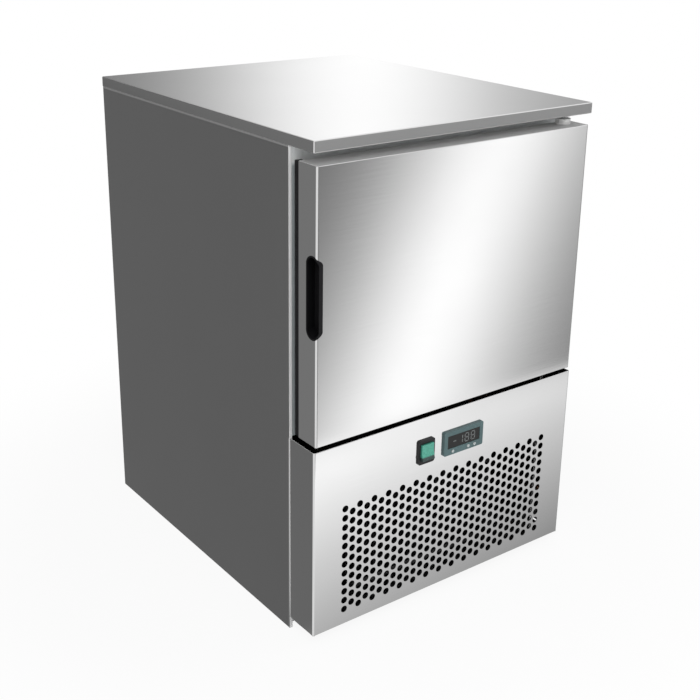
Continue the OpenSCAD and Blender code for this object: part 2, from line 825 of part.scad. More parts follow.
// Condenser to receiver, receiver to drier, and drier to evaporator.
module liquid_pipe() {
    z1 = low_port(cond_z, cond_h);
    y1 = comp_y - comp_d / 2 - 34;
    in_y = receiver_y - receiver_d / 2 - 10;
    out_z = pan_t + receiver_h + 22;
    top = deck_z - 40;
    z2 = high_port(coil_z, coil_h);
    color(copper) {
        pipe([[cond_port_x, cond_port_y, z1], [side_run_x, cond_port_y, z1], [side_run_x, y1, z1],
            [receiver_x, y1, z1], [receiver_x, y1, pan_t + 50], [receiver_x, in_y, pan_t + 50]],
            liquid_d, bend / 2);
        pipe([[receiver_x, receiver_y, out_z], [receiver_x, receiver_y, top], [receiver_x, drier_y, top],
            [0, drier_y, top], [0, drier_y, drier_z1]], liquid_d, bend);
        pipe([[0, drier_y, drier_z0], [0, drier_y, 90], [riser_x, drier_y, 90], [riser_x, drier_y, z2],
            [riser_x, suction_y, z2], [coil_port_x, suction_y, z2]], liquid_d, bend / 2);
    }
}

module suction_pipe() {
    x1 = comp_x + 28;
    y1 = comp_y + 30;
    z1 = comp_z + comp_h + 14;
    z2 = deck_z - 60;
    z3 = low_port(coil_z, coil_h);
    color(copper) pipe([[x1, y1, z1], [x1, y1, z2], [x1, suction_y, z2], [riser_x, suction_y, z2],
        [riser_x, suction_y, z3], [coil_port_x, suction_y, z3]], suction_d, bend);
}

// Hose from the drain spout down into the condensate tray.
module drain_pipe() {
    top = deck_z - 12;
    color("#4c5053") translate([drain_x, drain_y, 20]) difference() {
        cylinder(h = top - 20 + 10, d = drain_d + 6);
        translate([0, 0, -1]) cylinder(h = top + 20, d = drain_d - 4);
        translate([0, 0, top - 16]) cylinder(h = 40, d = drain_d + 0.2);
    }
}

// Open tray on the base that the condensate evaporates from.
module condensate_tray() {
    lo = [drain_x - basin_w / 2, drain_y - basin_d / 2, pan_t];
    hi = [drain_x + basin_w / 2, drain_y + basin_d / 2, basin_top];
    color("#6c7072") difference() {
        block(lo, hi);
        block(lo + [2, 2, 2], hi + [-2, -2, 1]);
    }
}

// Box of relays and terminals that hangs from the deck.
module electrical_box() {
    lo = [-inner_x + 12, rear_y - box_back, deck_z - box_h];
    hi = [lo.x + box_w, lo.y + box_d, deck_z];
    color("#7d8183") {
        difference() {
            block(lo, hi);
            block(lo + [2, 2, 2], hi + [-2, -2, -2]);
        }
        translate([hi.x, (lo.y + hi.y) / 2, (lo.z + hi.z) / 2]) rotate([0, 90, 0]) cylinder(h = 6, d = 18);
    }
}

// ---- lower panel and controls -----------------------------------------------------------------

// Middles of the grille's holes, as a 60 degree staggered pattern of upright columns.
module grille_places() {
    step_x = hole_pitch * sqrt(3) / 2;
    for (i = [0 : hole_cols - 1]) {
        odd = i % 2;
        for (k = [0 : hole_rows - 1 - odd])
            translate([grille_x + (i - (hole_cols - 1) / 2) * step_x,
                grille_z + (k + odd / 2 - (hole_rows - 1) / 2) * hole_pitch]) children();
    }
}

// Folded cover of the machine compartment: perforated front, two side flanges and a bottom flange.
module lower_panel() {
    h = panel_top - panel_clear;
    color(steel) {
        upright_sheet(front_y, skin) difference() {
            translate([-panel_x + bend_r, panel_clear]) square([2 * (panel_x - bend_r), h]);
            grille_places() circle(d = hole_d, $fn = 24);
            translate([switch_x, control_z]) square([switch_w - 6, switch_h - 4], center = true);
            translate([control_x, control_z]) square([control_w - 8.6, control_h - 10.6], center = true);
        }
        translate([0, front_y, panel_clear]) linear_extrude(h) difference() {
            folded_plan(2 * panel_x, front_set, bend_r);
            translate([0, skin]) folded_plan(2 * (panel_x - skin), front_set, bend_r - skin);
            translate([-panel_x + bend_r, -1]) square([2 * (panel_x - bend_r), skin + 1]);
        }
        difference() {
            union() {
                block([-panel_x + skin, front_y + skin, panel_clear], [panel_x - skin, front_y + 40, panel_clear + skin]);
                block([-hem_x + 1, front_y + 39, panel_clear], [hem_x - 1, hem_y - seat, panel_clear + skin]);
            }
            for (x = [-ear_x, ear_x])
                translate([x, ear_y, panel_clear - 1]) cylinder(h = 4, d = screw_d);
        }
    }
}

// Screws from below through the panel's bottom flange into the base pan's ears.
module panel_screws() {
    color(steel) for (x = [-ear_x, ear_x]) translate([x, ear_y, panel_clear]) {
        translate([0, 0, -2.5]) cylinder(h = 2.5, d = 8);
        cylinder(h = skin + pan_t + 3, d = screw_d - 0.2);
    }
}

rocker_pin = 1.6;

// Moulded frame and body of the switch, with blind bores for the rocker's pins.
module switch_frame() {
    open_w = rocker_w + 0.6;
    open_h = rocker_h + 2.4;
    color(black) translate([switch_x, 0, control_z]) difference() {
        union() {
            upright_sheet(front_y - switch_t, switch_t) round_rect(switch_w, switch_h, 4);
            upright_sheet(front_y, 26) square([switch_w - 6.6, switch_h - 4.6], center = true);
        }
        block([-open_w / 2, front_y - switch_t - 1, -open_h / 2], [open_w / 2, front_y + 9, open_h / 2]);
        translate([0, front_y - rocker_pivot, 0]) rotate([0, 90, 0])
            cylinder(h = rocker_w + 3.4, d = rocker_pin + 2 * run_fit, center = true);
    }
}

// Rocker with a shallow V front, on two short pins, resting with its top pressed in.
module switch_rocker() {
    hh = rocker_h / 2;
    translate([switch_x, front_y - rocker_pivot, control_z]) rotate([-rocker_tilt, 0, 0]) color("#4fae93") {
        translate([-rocker_w / 2, 0, 0]) rotate([90, 0, 90]) linear_extrude(rocker_w)
            polygon([[-rocker_reach, -hh], [-rocker_reach + 1.5, 0], [-rocker_reach, hh], [2, hh],
                [6, hh / 2], [6, -hh / 2], [2, -hh]]);
        rotate([0, 90, 0]) cylinder(h = rocker_w + 2.4, d = rocker_pin, center = true);
    }
}

window_z = control_z + 1.5;
key_z = control_z - 14.5;
key_places = [-0.28 * control_w, 0.12 * control_w, 0.28 * control_w];
key_pocket = key_travel + 2 * seat + 1;

// Moulded front of the controller, with a pocket for the window and stepped bores for the keys.
module controller_frame() {
    color("#4f6468") translate([control_x, 0, 0]) difference() {
        translate([0, 0, control_z]) upright_sheet(front_y - control_t, control_t) round_rect(control_w, control_h, 2.5);
        translate([0, 0, window_z]) upright_sheet(front_y - control_t - 1, 2.4) square([window_w, window_h], center = true);
        for (x = key_places) translate([x, front_y, key_z]) rotate([90, 0, 0]) {
            translate([0, 0, -1]) cylinder(h = control_t + 2, d = key_d + 0.6);
            translate([0, 0, -1]) cylinder(h = key_pocket + 1, d = key_d + 2.6);
        }
    }
}

module controller_window() {
    color("#141617") translate([control_x, 0, window_z]) upright_sheet(front_y - control_t + 0.4, 1)
        square([window_w - 0.6, window_h - 0.6], center = true);
}

// Case of the controller behind the panel.
module controller_case() {
    color(black) translate([control_x, 0, control_z]) {
        upright_sheet(front_y, 56) square([control_w - 9.2, control_h - 11.2], center = true);
        upright_sheet(front_y + 56, 6) square([control_w - 20, 12], center = true);
    }
}

// A round key with a flange behind the frame.
module key(x) {
    color("#c9d2d2") translate([control_x + x, front_y, key_z]) rotate([90, 0, 0]) {
        translate([0, 0, key_pocket - seat - 1]) cylinder(h = 1, d = key_d + 2);
        translate([0, 0, key_pocket - seat - eps]) cylinder(h = control_t + key_travel - key_pocket + seat, d = key_d);
    }
}

module key_set() {
    key(key_places[0]);
}

module key_down() {
    key(key_places[1]);
}

module key_up() {
    key(key_places[2]);
}

// ---- hinges -----------------------------------------------------------------------------------

plate_z1 = top_z - 2;
plate_z0 = plate_z1 - hinge_t;
low_plate_z0 = panel_top + (door_gap - hinge_t) / 2;
low_plate_z1 = low_plate_z0 + hinge_t;
top_flange_z0 = door_z1 + 2;
low_flange_z1 = door_z0 + seal_in - 2;
top_screw_z = (top_flange_z0 + plate_z0) / 2;
low_screw_z = (low_plate_z1 + low_flange_z1) / 2;

// Each hinge screw, with +Z of its own frame pointing out of the cabinet's front.
module hinge_screw_places() {
    for (x = [-12, 12], z = [top_screw_z, low_screw_z])
        translate([hinge_x + x, frame_y, z]) rotate([90, 0, 0]) children();
}

// Plate with a round nose over the hinge axis, from the nose back to the front frame.
module hinge_plate(z0) {
    translate([hinge_x, hinge_y, z0]) linear_extrude(hinge_t) {
        circle(d = bush_d);
        translate([-bush_d / 2, 0]) square([bush_d, frame_y - hinge_y]);
        translate([-20, frame_y - hinge_y - 8]) square([40, 8]);
    }
}

module top_hinge_bracket() {
    color(steel_dark) difference() {
        union() {
            hinge_plate(plate_z0);
            block([hinge_x - 20, frame_y - hinge_flange, top_flange_z0], [hinge_x + 20, frame_y, plate_z1]);
            translate([hinge_x, hinge_y, door_z1 - 10]) cylinder(h = plate_z0 - door_z1 + 10 + eps, d = pin_d);
        }
        hinge_screw_places() hinge_screw_hole();
    }
}

module bottom_hinge_bracket() {
    color(steel_dark) difference() {
        union() {
            hinge_plate(low_plate_z0);
            block([hinge_x - 20, frame_y - hinge_flange, low_plate_z0], [hinge_x + 20, frame_y, low_flange_z1]);
            translate([hinge_x, hinge_y, low_plate_z1 - eps]) cylinder(h = door_z0 - low_plate_z1 + 10, d = pin_d);
        }
        hinge_screw_places() hinge_screw_hole();
    }
}

module hinge_screw_hole() {
    translate([0, 0, -1]) cylinder(h = hinge_flange + 2, d = screw_d);
    translate([0, 0, 0.4]) cylinder(h = hinge_flange, d = head_d);
}

module hinge_screws() {
    color(steel) hinge_screw_places() {
        translate([0, 0, -10]) cylinder(h = 10.5, d = screw_d - 0.2);
        translate([0, 0, 0.4]) cylinder(h = hinge_flange - 0.4, d = head_d - 0.4);
    }
}

// ---- door -------------------------------------------------------------------------------------

pull_angle = atan2(handle_front, handle_side);
mouth_w = norm([handle_front, handle_side]);

// Straight prism of the handle pocket, from outside the door's left edge to a depth behind its mouth.
module pocket_prism(grow, depth) {
    translate([-door_x + handle_front / 2, front_y + handle_side / 2, handle_z])
        rotate([0, 0, pull_angle + 90]) rotate([90, 0, 0]) translate([0, 0, -24]) linear_extrude(24 + depth)
            round_rect(mouth_w + 2 * grow, handle_h + 2 * grow, (mouth_w + 2 * grow) / 2 - 0.1);
}

module door_solid(inset) {
    translate([0, front_y + inset, door_z0 + inset])
        linear_extrude(door_h - 2 * inset) folded_plan(2 * (door_x - inset), door_t - inset, bend_r - inset);
}

stem_d = pin_d + 6;
stem_l = 14;

module bush_places(grow) {
    translate([hinge_x, hinge_y, door_z1 - stem_l - grow]) cylinder(h = stem_l + grow + 1, d = stem_d + 2 * grow);
    translate([hinge_x, hinge_y, door_z0 - 1]) cylinder(h = stem_l + grow + 1, d = stem_d + 2 * grow);
}

// Outer skin, folded on all four sides and open to the back.
module door_skin() {
    color(steel) difference() {
        door_solid(0);
        translate([0, front_y + skin, door_z0 + skin]) linear_extrude(door_h - 2 * skin)
            folded_plan(2 * (door_x - skin), door_t, bend_r - skin);
        pocket_prism(0.1, 30);
        bush_places(0.1);
    }
}

module door_foam() {
    color(foam) difference() {
        union() {
            translate([0, front_y + skin, door_z0 + skin]) linear_extrude(door_h - 2 * skin)
                folded_plan(2 * (door_x - skin), door_t - 2 * skin, bend_r - skin);
            dish(skin, front_y + door_t - skin - 1, front_y + door_t + dish_h - skin);
        }
        pocket_prism(0.1, pocket_d + 3.2);
        bush_places(0.1);
    }
}

seal_x0 = -door_x + seal_in;
seal_z0 = door_z0 + seal_in;
seal_z1 = door_z1 - seal_in;

// Inner panel with a dished middle that tapers towards the chamber.
module door_liner() {
    y1 = front_y + door_t;
    color(steel) difference() {
        union() {
            block([-door_x + skin, y1 - skin, door_z0 + skin], [door_x - skin, y1, door_z1 - skin]);
            dish(0, y1 - skin / 2, y1 + dish_h);
        }
        dish(skin, y1 - skin - 1, y1 + dish_h - skin);
        pocket_prism(0.1, 30);
    }
}

// Shallow frustum inside the gasket, between two upright planes.
module dish(inset, y0, y1) {
    taper = 10;
    side = seal_w + 6 + inset;
    lo = [seal_x0 + side, seal_z0 + side];
    hi = [hinge_x - side, seal_z1 - side];
    hull() {
        block([lo.x, y0, lo.y], [hi.x, y0 + eps, hi.y]);
        block([lo.x + taper, y1 - eps, lo.y + taper], [hi.x - taper, y1, hi.y - taper]);
    }
}

// One step of the gasket: a ring of width w about the gasket's middle line.
module seal_ring(y0, y1, w) {
    a = (seal_w - w) / 2;
    b = (seal_w + w) / 2;
    upright_sheet(y0, y1 - y0) difference() {
        translate([seal_x0 + a, seal_z0 + a]) square([hinge_x - seal_x0 - 2 * a, seal_z1 - seal_z0 - 2 * a]);
        translate([seal_x0 + b, seal_z0 + b]) square([hinge_x - seal_x0 - 2 * b, seal_z1 - seal_z0 - 2 * b]);
    }
}

// Magnetic gasket: a rooted base, a bellows with a fold, and the bar of the magnet.
module door_gasket() {
    y0 = front_y + door_t;
    y1 = frame_y - seat;
    color(black) {
        seal_ring(y0, y0 + 4, seal_w - 5);
        seal_ring(y0 + 4, y0 + 8.5, seal_w);
        seal_ring(y0 + 8.5, y0 + 11, seal_w - 4);
        seal_ring(y0 + 11, y1 - 3, seal_w);
        seal_ring(y1 - 3, y1, seal_w - 2);
    }
}

// Finger pocket moulded round the door's corner.
module handle_pocket() {
    color(black) difference() {
        intersection() {
            pocket_prism(0, pocket_d + 3);
            door_solid(-0.5);
        }
        pocket_prism(-pocket_t, pocket_d);
    }
}

module bush(z0, head) {
    translate([hinge_x, hinge_y, z0]) cylinder(h = head, d = bush_d);
}

// White bush on the door's top, round the upper hinge pin.
module top_hinge_bush() {
    color(white) difference() {
        union() {
            bush(door_z1, bush_h);
            translate([hinge_x, hinge_y, door_z1 - stem_l]) cylinder(h = stem_l + eps, d = stem_d);
        }
        translate([hinge_x, hinge_y, door_z1 - stem_l + 2]) cylinder(h = stem_l + bush_h, d = pin_d + 2 * run_fit);
    }
}

module bottom_hinge_bush() {
    head = door_z0 - low_plate_z1 - seat;
    color(white) difference() {
        union() {
            bush(door_z0 - head, head);
            translate([hinge_x, hinge_y, door_z0 - eps]) cylinder(h = stem_l, d = stem_d);
        }
        translate([hinge_x, hinge_y, door_z0 - head - 1]) cylinder(h = stem_l + head - 1, d = pin_d + 2 * run_fit);
    }
}

worktop();
worktop_core();
side_panel_left();
side_panel_right();
back_panel();
front_frame();
breaker_strip();
cabinet_insulation();
inner_liner();
compartment_deck();
base_pan();
leg_inserts();
rear_cover();
cover_screws();
cable_gland();
rack_left();
rack_right();
rack_studs();
evaporator_cover();
fan_guard();
evaporator_fan();
evaporator_motor();
evaporator_fins();
evaporator_tubes();
condenser_fins();
condenser_tubes();
condenser_shroud();
condenser_fan();
condenser_motor();
compressor();
compressor_feet();
terminal_box();
liquid_receiver();
filter_drier();
discharge_pipe();
liquid_pipe();
suction_pipe();
drain_pipe();
condensate_tray();
electrical_box();
lower_panel();
panel_screws();
switch_frame();
switch_rocker();
controller_frame();
controller_window();
controller_case();
key_set();
key_down();
key_up();
top_hinge_bracket();
bottom_hinge_bracket();
hinge_screws();
door_skin();
door_foam();
door_liner();
door_gasket();
handle_pocket();
top_hinge_bush();
bottom_hinge_bush();
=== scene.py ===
"""Undercounter blast chiller: finish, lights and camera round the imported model. Metres."""

import json
import math

import bmesh
import bpy
from mathutils import Matrix, Vector

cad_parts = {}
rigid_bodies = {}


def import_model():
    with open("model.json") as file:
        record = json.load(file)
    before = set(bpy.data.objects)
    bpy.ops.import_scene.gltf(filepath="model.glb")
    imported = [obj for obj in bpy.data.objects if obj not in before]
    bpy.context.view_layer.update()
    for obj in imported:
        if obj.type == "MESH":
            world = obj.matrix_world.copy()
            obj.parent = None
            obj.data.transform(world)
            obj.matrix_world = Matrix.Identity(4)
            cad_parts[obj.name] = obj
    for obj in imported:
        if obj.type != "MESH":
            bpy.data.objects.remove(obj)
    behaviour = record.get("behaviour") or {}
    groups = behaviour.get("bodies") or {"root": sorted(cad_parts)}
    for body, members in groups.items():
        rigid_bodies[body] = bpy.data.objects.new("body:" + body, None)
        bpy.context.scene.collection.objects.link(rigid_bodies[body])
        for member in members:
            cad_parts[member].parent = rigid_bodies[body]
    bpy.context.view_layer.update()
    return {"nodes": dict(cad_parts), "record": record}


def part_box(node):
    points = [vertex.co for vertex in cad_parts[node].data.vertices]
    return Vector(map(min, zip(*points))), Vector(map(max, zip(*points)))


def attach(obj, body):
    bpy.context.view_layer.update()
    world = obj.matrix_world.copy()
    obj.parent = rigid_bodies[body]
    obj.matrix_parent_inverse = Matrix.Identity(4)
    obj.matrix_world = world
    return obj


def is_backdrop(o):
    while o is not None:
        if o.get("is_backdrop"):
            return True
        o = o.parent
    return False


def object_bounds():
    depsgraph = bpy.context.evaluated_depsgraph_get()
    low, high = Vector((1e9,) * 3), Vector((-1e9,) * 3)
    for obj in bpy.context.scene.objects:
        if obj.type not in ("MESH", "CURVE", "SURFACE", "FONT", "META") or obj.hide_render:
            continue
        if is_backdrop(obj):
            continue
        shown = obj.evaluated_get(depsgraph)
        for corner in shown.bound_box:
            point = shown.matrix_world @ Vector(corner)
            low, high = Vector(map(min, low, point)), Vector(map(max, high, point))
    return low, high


for old in list(bpy.data.objects):
    bpy.data.objects.remove(old)

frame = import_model()
nodes = frame["nodes"]

# ---- node graphs ------------------------------------------------------------------------------


class Graph:
    """A node tree with short calls: each returns the new node's first output."""

    def __init__(self, tree):
        self.tree = tree
        self.tree.nodes.clear()

    def node(self, kind, inputs=None, **settings):
        new = self.tree.nodes.new(kind)
        for key, value in settings.items():
            setattr(new, key, value)
        for key, value in (inputs or {}).items():
            if isinstance(value, bpy.types.NodeSocket):
                self.tree.links.new(value, new.inputs[key])
            else:
                new.inputs[key].default_value = value
        return new

    def math(self, operation, a, b=0.0, c=0.0, clamp=False):
        return self.node(
            "ShaderNodeMath", {0: a, 1: b, 2: c}, operation=operation, use_clamp=clamp
        ).outputs[0]

    def ramp(self, value, low, high, to_low=0.0, to_high=1.0, smooth=False):
        return self.node(
            "ShaderNodeMapRange",
            {"Value": value, "From Min": low, "From Max": high, "To Min": to_low, "To Max": to_high},
            interpolation_type="SMOOTHSTEP" if smooth else "LINEAR",
        ).outputs[0]

    def blend(self, share, a, b):
        """a where the share is 0, and b where it is 1."""
        return self.math("MULTIPLY_ADD", share, self.math("SUBTRACT", b, a), a)

    def plane(self, x, y, slopes):
        """A tilted plane over x and y, from its two slopes and its level at the origin."""
        along_x, along_y, level = slopes
        return self.math("MULTIPLY_ADD", x, along_x, self.math("MULTIPLY_ADD", y, along_y, level))

    def object_axes(self):
        return self.axes(self.node("ShaderNodeTexCoord").outputs["Object"])

    def mix(self, factor, a, b):
        new = self.node("ShaderNodeMix", data_type="RGBA")
        for socket, value in ((new.inputs[0], factor), (new.inputs[6], a), (new.inputs[7], b)):
            if isinstance(value, bpy.types.NodeSocket):
                self.tree.links.new(value, socket)
            else:
                socket.default_value = value
        return new.outputs[2]

    def axes(self, vector):
        return self.node("ShaderNodeSeparateXYZ", {0: vector}).outputs

    def noise(self, scale, detail=2.0, roughness=0.5, stretch=(1, 1, 1)):
        place = self.node("ShaderNodeTexCoord").outputs["Object"]
        moved = self.node("ShaderNodeMapping", {"Vector": place, "Scale": stretch}).outputs[0]
        return self.node(
            "ShaderNodeTexNoise",
            {"Vector": moved, "Scale": scale, "Detail": detail, "Roughness": roughness},
        ).outputs[0]

    def bump(self, height, strength, distance):
        return self.node(
            "ShaderNodeBump", {"Height": height, "Strength": strength, "Distance": distance}
        ).outputs[0]

    def principled(self, inputs):
        shader = self.node("ShaderNodeBsdfPrincipled", inputs).outputs[0]
        self.node("ShaderNodeOutputMaterial", {"Surface": shader})


def new_material(name):
    made = bpy.data.materials.new(name)
    made.use_nodes = True
    return made, Graph(made.node_tree)


def shade(colour, factor):
    return tuple(min(1.0, c * factor) for c in colour[:3]) + (1.0,)


# ---- materials --------------------------------------------------------------------------------

ALONG_X = (0.012, 1.0, 1.0)
ALONG_Z = (1.0, 1.0, 0.012)
# Painted highlight on the side panels' edges: the soft edge of its band, and how much brighter than
# the steel it is.
HIGHLIGHT_BLEND = 0.0004
HIGHLIGHT_SHADES = (1.9, 2.1)
# Painted light: the paler colour given above a height, and the height over which it blends in.
PAINTED_LIGHT_TONE = (0.86, 0.88, 0.88, 1.0)
PAINTED_LIGHT_BLEND = 0.004
# Where the rocker turns from dark to green, as shares of its height.
ROCKER_FADE = (0.2, 0.3)


def flat_share(g, *axis_names):
    """1 on faces that look straight along one of these axes, and 0 on other faces and edges."""
    normal = g.axes(g.node("ShaderNodeTexCoord").outputs["Normal"])
    total = 0.0
    for name in axis_names:
        total = g.math("MAXIMUM", total, g.math("ABSOLUTE", normal[name]))
    return g.ramp(total, 0.93, 0.99)


def metal(name, colour, rough, grain=(1, 1, 1), fine=700.0, turned=None, highlight_edges=None):
    """Sheet metal, brushed along the axis whose grain is small, with faint handling marks.

    Faces that look along a listed axis get their own finish: (tone factor, added roughness, share of
    bare metal).
    The tone factor is painted shade below 1 and painted light above 1. A painted highlight brightens
    the edges where the last argument's mask is 1.
    """
    made, g = new_material(name)
    lines = g.noise(fine, 2.0, 0.6, grain)
    marks = g.noise(5.0, 3.0, 0.55)
    tint = g.mix(lines, shade(colour, 0.965), shade(colour, 1.035))
    tint = g.mix(g.ramp(marks, 0.35, 0.7, 0.0, 0.5), tint, shade(colour, 0.95))
    roughness = g.math("ADD", g.ramp(lines, 0.25, 0.75, rough - 0.015, rough + 0.02),
        g.ramp(marks, 0.35, 0.7, -0.008, 0.012))
    bare = 1.0
    # Painted shade and painted light set by the way a face looks, with that face's own roughness and
    # metal.
    for axis, (factor, added, metallic) in (turned or {}).items():
        share = flat_share(g, axis)
        painted_facing_tone = g.mix(lines, shade(colour, factor * 0.96), shade(colour, factor))
        tint = g.mix(share, tint, painted_facing_tone)
        roughness = g.math("MULTIPLY_ADD", share, added, roughness)
        if metallic < 1.0:
            bare = g.ramp(share, 0.0, 1.0, 1.0, metallic)
    # Painted highlight on the edges the mask gives.
    if highlight_edges:
        bright = g.mix(lines, *(shade(colour, factor) for factor in HIGHLIGHT_SHADES))
        tint = g.mix(highlight_edges(g), tint, bright)
    g.principled(
        {
            "Base Color": tint,
            "Metallic": bare,
            "Roughness": roughness,
            "Normal": g.bump(lines, 0.05, 0.0001),
        }
    )
    return made


def plastic(name, colour, rough, grain_size=900.0, relief=0.12, coat=0.0, wear=1.25, gloss=0.5,
        painted_light_above=None):
    """Moulded plastic, rubber or enamel: spark-eroded grain, and paler where it is handled.

    Above a given height it is painted paler still, as painted light.
    """
    made, g = new_material(name)
    grain = g.noise(grain_size, 3.0, 0.6)
    patches = g.noise(14.0, 4.0, 0.6)
    tint = g.mix(g.ramp(patches, 0.35, 0.75), shade(colour, 0.92), shade(colour, wear))
    if painted_light_above:
        height = g.object_axes()["Z"]
        share = g.ramp(height, painted_light_above - PAINTED_LIGHT_BLEND, painted_light_above + PAINTED_LIGHT_BLEND, smooth=True)
        tint = g.mix(share, tint, g.mix(patches, shade(PAINTED_LIGHT_TONE, 0.97), PAINTED_LIGHT_TONE))
    g.principled(
        {
            "Base Color": tint,
            "Roughness": g.ramp(grain, 0.25, 0.75, rough - 0.05, rough + 0.07),
            "Specular IOR Level": gloss,
            "Coat Weight": coat,
            "Normal": g.bump(grain, relief, 0.0002),
        }
    )
    return made


def foam(name, colour):
    made, g = new_material(name)
    place = g.node("ShaderNodeTexCoord").outputs["Object"]
    cells = g.node("ShaderNodeTexVoronoi", {"Vector": place, "Scale": 420.0}).outputs["Distance"]
    tint = g.mix(g.noise(9.0, 4.0), shade(colour, 0.85), shade(colour, 1.1))
    g.principled({"Base Color": tint, "Roughness": 0.9, "Normal": g.bump(cells, 0.5, 0.001)})
    return made


def board(name, colour, edge_colour):
    """Chipboard with pale laminate on both faces and raw edges."""
    made, g = new_material(name)
    chips = g.noise(60.0, 6.0, 0.7, (0.3, 1.0, 1.0))
    raw = g.mix(g.ramp(chips, 0.35, 0.65), shade(edge_colour, 0.7), shade(edge_colour, 1.3))
    laminate = g.mix(chips, shade(colour, 0.99), shade(colour, 1.01))
    tint = g.mix(flat_share(g, "Z"), raw, laminate)
    g.principled({"Base Color": tint, "Roughness": 0.6, "Normal": g.bump(chips, 0.02, 0.0002)})
    return made


def rocker_plastic(name, colour, end_colour):
    """Lit green plastic that darkens towards the rocker's lower end."""
    made, g = new_material(name)
    low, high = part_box("switch_rocker")
    height = g.object_axes()["Z"]
    dark, lit = (low.z + part * (high.z - low.z) for part in ROCKER_FADE)
    share = g.ramp(height, dark, lit, smooth=True)
    cloud = g.noise(220.0, 3.0, 0.6)
    green = g.mix(cloud, shade(colour, 0.8), shade(colour, 1.25))
    g.principled(
        {
            "Base Color": g.mix(share, end_colour + (1.0,), green),
            "Roughness": g.ramp(cloud, 0.25, 0.75, 0.22, 0.32),
            "Normal": g.bump(cloud, 0.03, 0.0002),
        }
    )
    return made


def side_edge_highlights(g):
    """Mask of the painted highlight: 1 along the side panels' top, and along their front beside the
    lower panel.
    """
    place = g.object_axes()
    top = SIDE_HIGH.z - SIDE_TOP_BAND
    front = SIDE_LOW.y + SIDE_FRONT_BAND
    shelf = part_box("lower_panel")[1].z
    along_top = g.ramp(place["Z"], top - HIGHLIGHT_BLEND, top)
    along_front = g.ramp(place["Y"], front, front - HIGHLIGHT_BLEND)
    low_down = g.ramp(place["Z"], shelf, shelf - HIGHLIGHT_BLEND)
    return g.math("MAXIMUM", along_top, g.math("MULTIPLY", along_front, low_down))


STEEL = (0.80, 0.80, 0.80)
# The side panels' steel: the same steel, painted darker as painted shade.
SHADED_STEEL = (0.41, 0.41, 0.41)
SIDE_LOW, SIDE_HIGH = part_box("side_panel_left")
# Widths of the painted highlight bands on the side panels' top and front.
SIDE_TOP_BAND = 0.002
SIDE_FRONT_BAND = 0.0028
# From this height, a little below the door's top, the frame's strip above the door is painted paler:
# painted light.
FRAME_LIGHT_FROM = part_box("door_skin")[1].z - 0.009
looks = {
    "stainless_steel": metal("stainless_steel", STEEL, 0.18, ALONG_Z),
    # Side panels: painted shade all over, painted light on the faces that look along Y, and painted
    # highlights along the top and front edges.
    "side_steel": metal("side_steel", SHADED_STEEL, 0.24, ALONG_Z, turned={"Y": (2.4, 0.3, 0.35)},
        highlight_edges=side_edge_highlights),
    "galvanised_steel": metal("galvanised_steel", (0.60, 0.61, 0.61), 0.38, fine=60.0),
    "fastener_steel": metal("fastener_steel", (0.72, 0.72, 0.72), 0.25, fine=900.0),
    "black_paint": plastic("black_paint", (0.012, 0.012, 0.013), 0.4, 700.0, 0.06),
    "grey_paint": plastic("grey_paint", (0.30, 0.32, 0.33), 0.4, 700.0, 0.06),
    "frame_paint": plastic("frame_paint", (0.42, 0.46, 0.47), 0.4, 700.0, 0.04, wear=1.05,
        painted_light_above=FRAME_LIGHT_FROM),
    "copper_pipe": metal("copper_pipe", (0.60, 0.32, 0.20), 0.3, fine=300.0),
    "aluminium_fin": metal("aluminium_fin", (0.70, 0.71, 0.72), 0.34, ALONG_Z),
    "black_plastic": plastic("black_plastic", (0.012, 0.012, 0.013), 0.45, gloss=0.3),
    "fan_plastic": plastic("fan_plastic", (0.06, 0.065, 0.07), 0.45),
    "seal_rubber": plastic("seal_rubber", (0.008, 0.008, 0.009), 0.6, 500.0, 0.2, gloss=0.2),
    "foam": foam("foam", (0.80, 0.72, 0.42)),
    "core_board": board("core_board", (0.72, 0.72, 0.71), (0.50, 0.38, 0.24)),
    "white_plastic": plastic("white_plastic", (0.92, 0.92, 0.91), 0.35, wear=1.0),
    "teal_rocker": rocker_plastic("teal_rocker", (0.06, 0.30, 0.22), (0.03, 0.05, 0.048)),
    "controller_plastic": plastic("controller_plastic", (0.055, 0.10, 0.105), 0.36, wear=1.25),
    "window_plastic": plastic("window_plastic", (0.012, 0.012, 0.012), 0.12, 200.0, 0.01, wear=1.0,
        gloss=0.25),
    "key_plastic": plastic("key_plastic", (0.40, 0.44, 0.44), 0.3, wear=1.0),
}
bracket_steel = metal("bracket_steel", (0.42, 0.43, 0.43), 0.45, fine=300.0)
own_look = {
    # Painted shade on the worktop's rims and on the door's and lower panel's sides, set by the way
    # each face looks. The door's top is painted a pale, rough, mostly non-metal grey in place of the
    # light in the gap above it: painted light.
    "worktop": metal("worktop_steel", (0.86, 0.86, 0.86), 0.12, ALONG_X,
        turned={"X": (0.44, 0.44, 1.0), "Y": (0.58, 0.44, 1.0)}),
    "door_skin": metal("door_steel", STEEL, 0.1, ALONG_X,
        turned={"X": (0.85, 0.0, 1.0), "Z": (0.66, 0.4, 0.15)}),
    "lower_panel": metal("panel_steel", STEEL, 0.1, ALONG_X, turned={"X": (0.64, 0.0, 1.0)}),
    "handle_pocket": plastic("pocket_plastic", (0.008, 0.008, 0.009), 0.5, gloss=0.12),
    "hinge_screws": bracket_steel,
    "top_hinge_bracket": bracket_steel,
    "bottom_hinge_bracket": bracket_steel,
}

for row in frame["record"]["subparts"]:
    mesh = nodes[row["node"]].data
    mesh.materials.clear()
    mesh.materials.append(own_look.get(row["node"], looks[row["material_slot"]]))

# ---- rounded edges on the CAD solids ----------------------------------------------------------

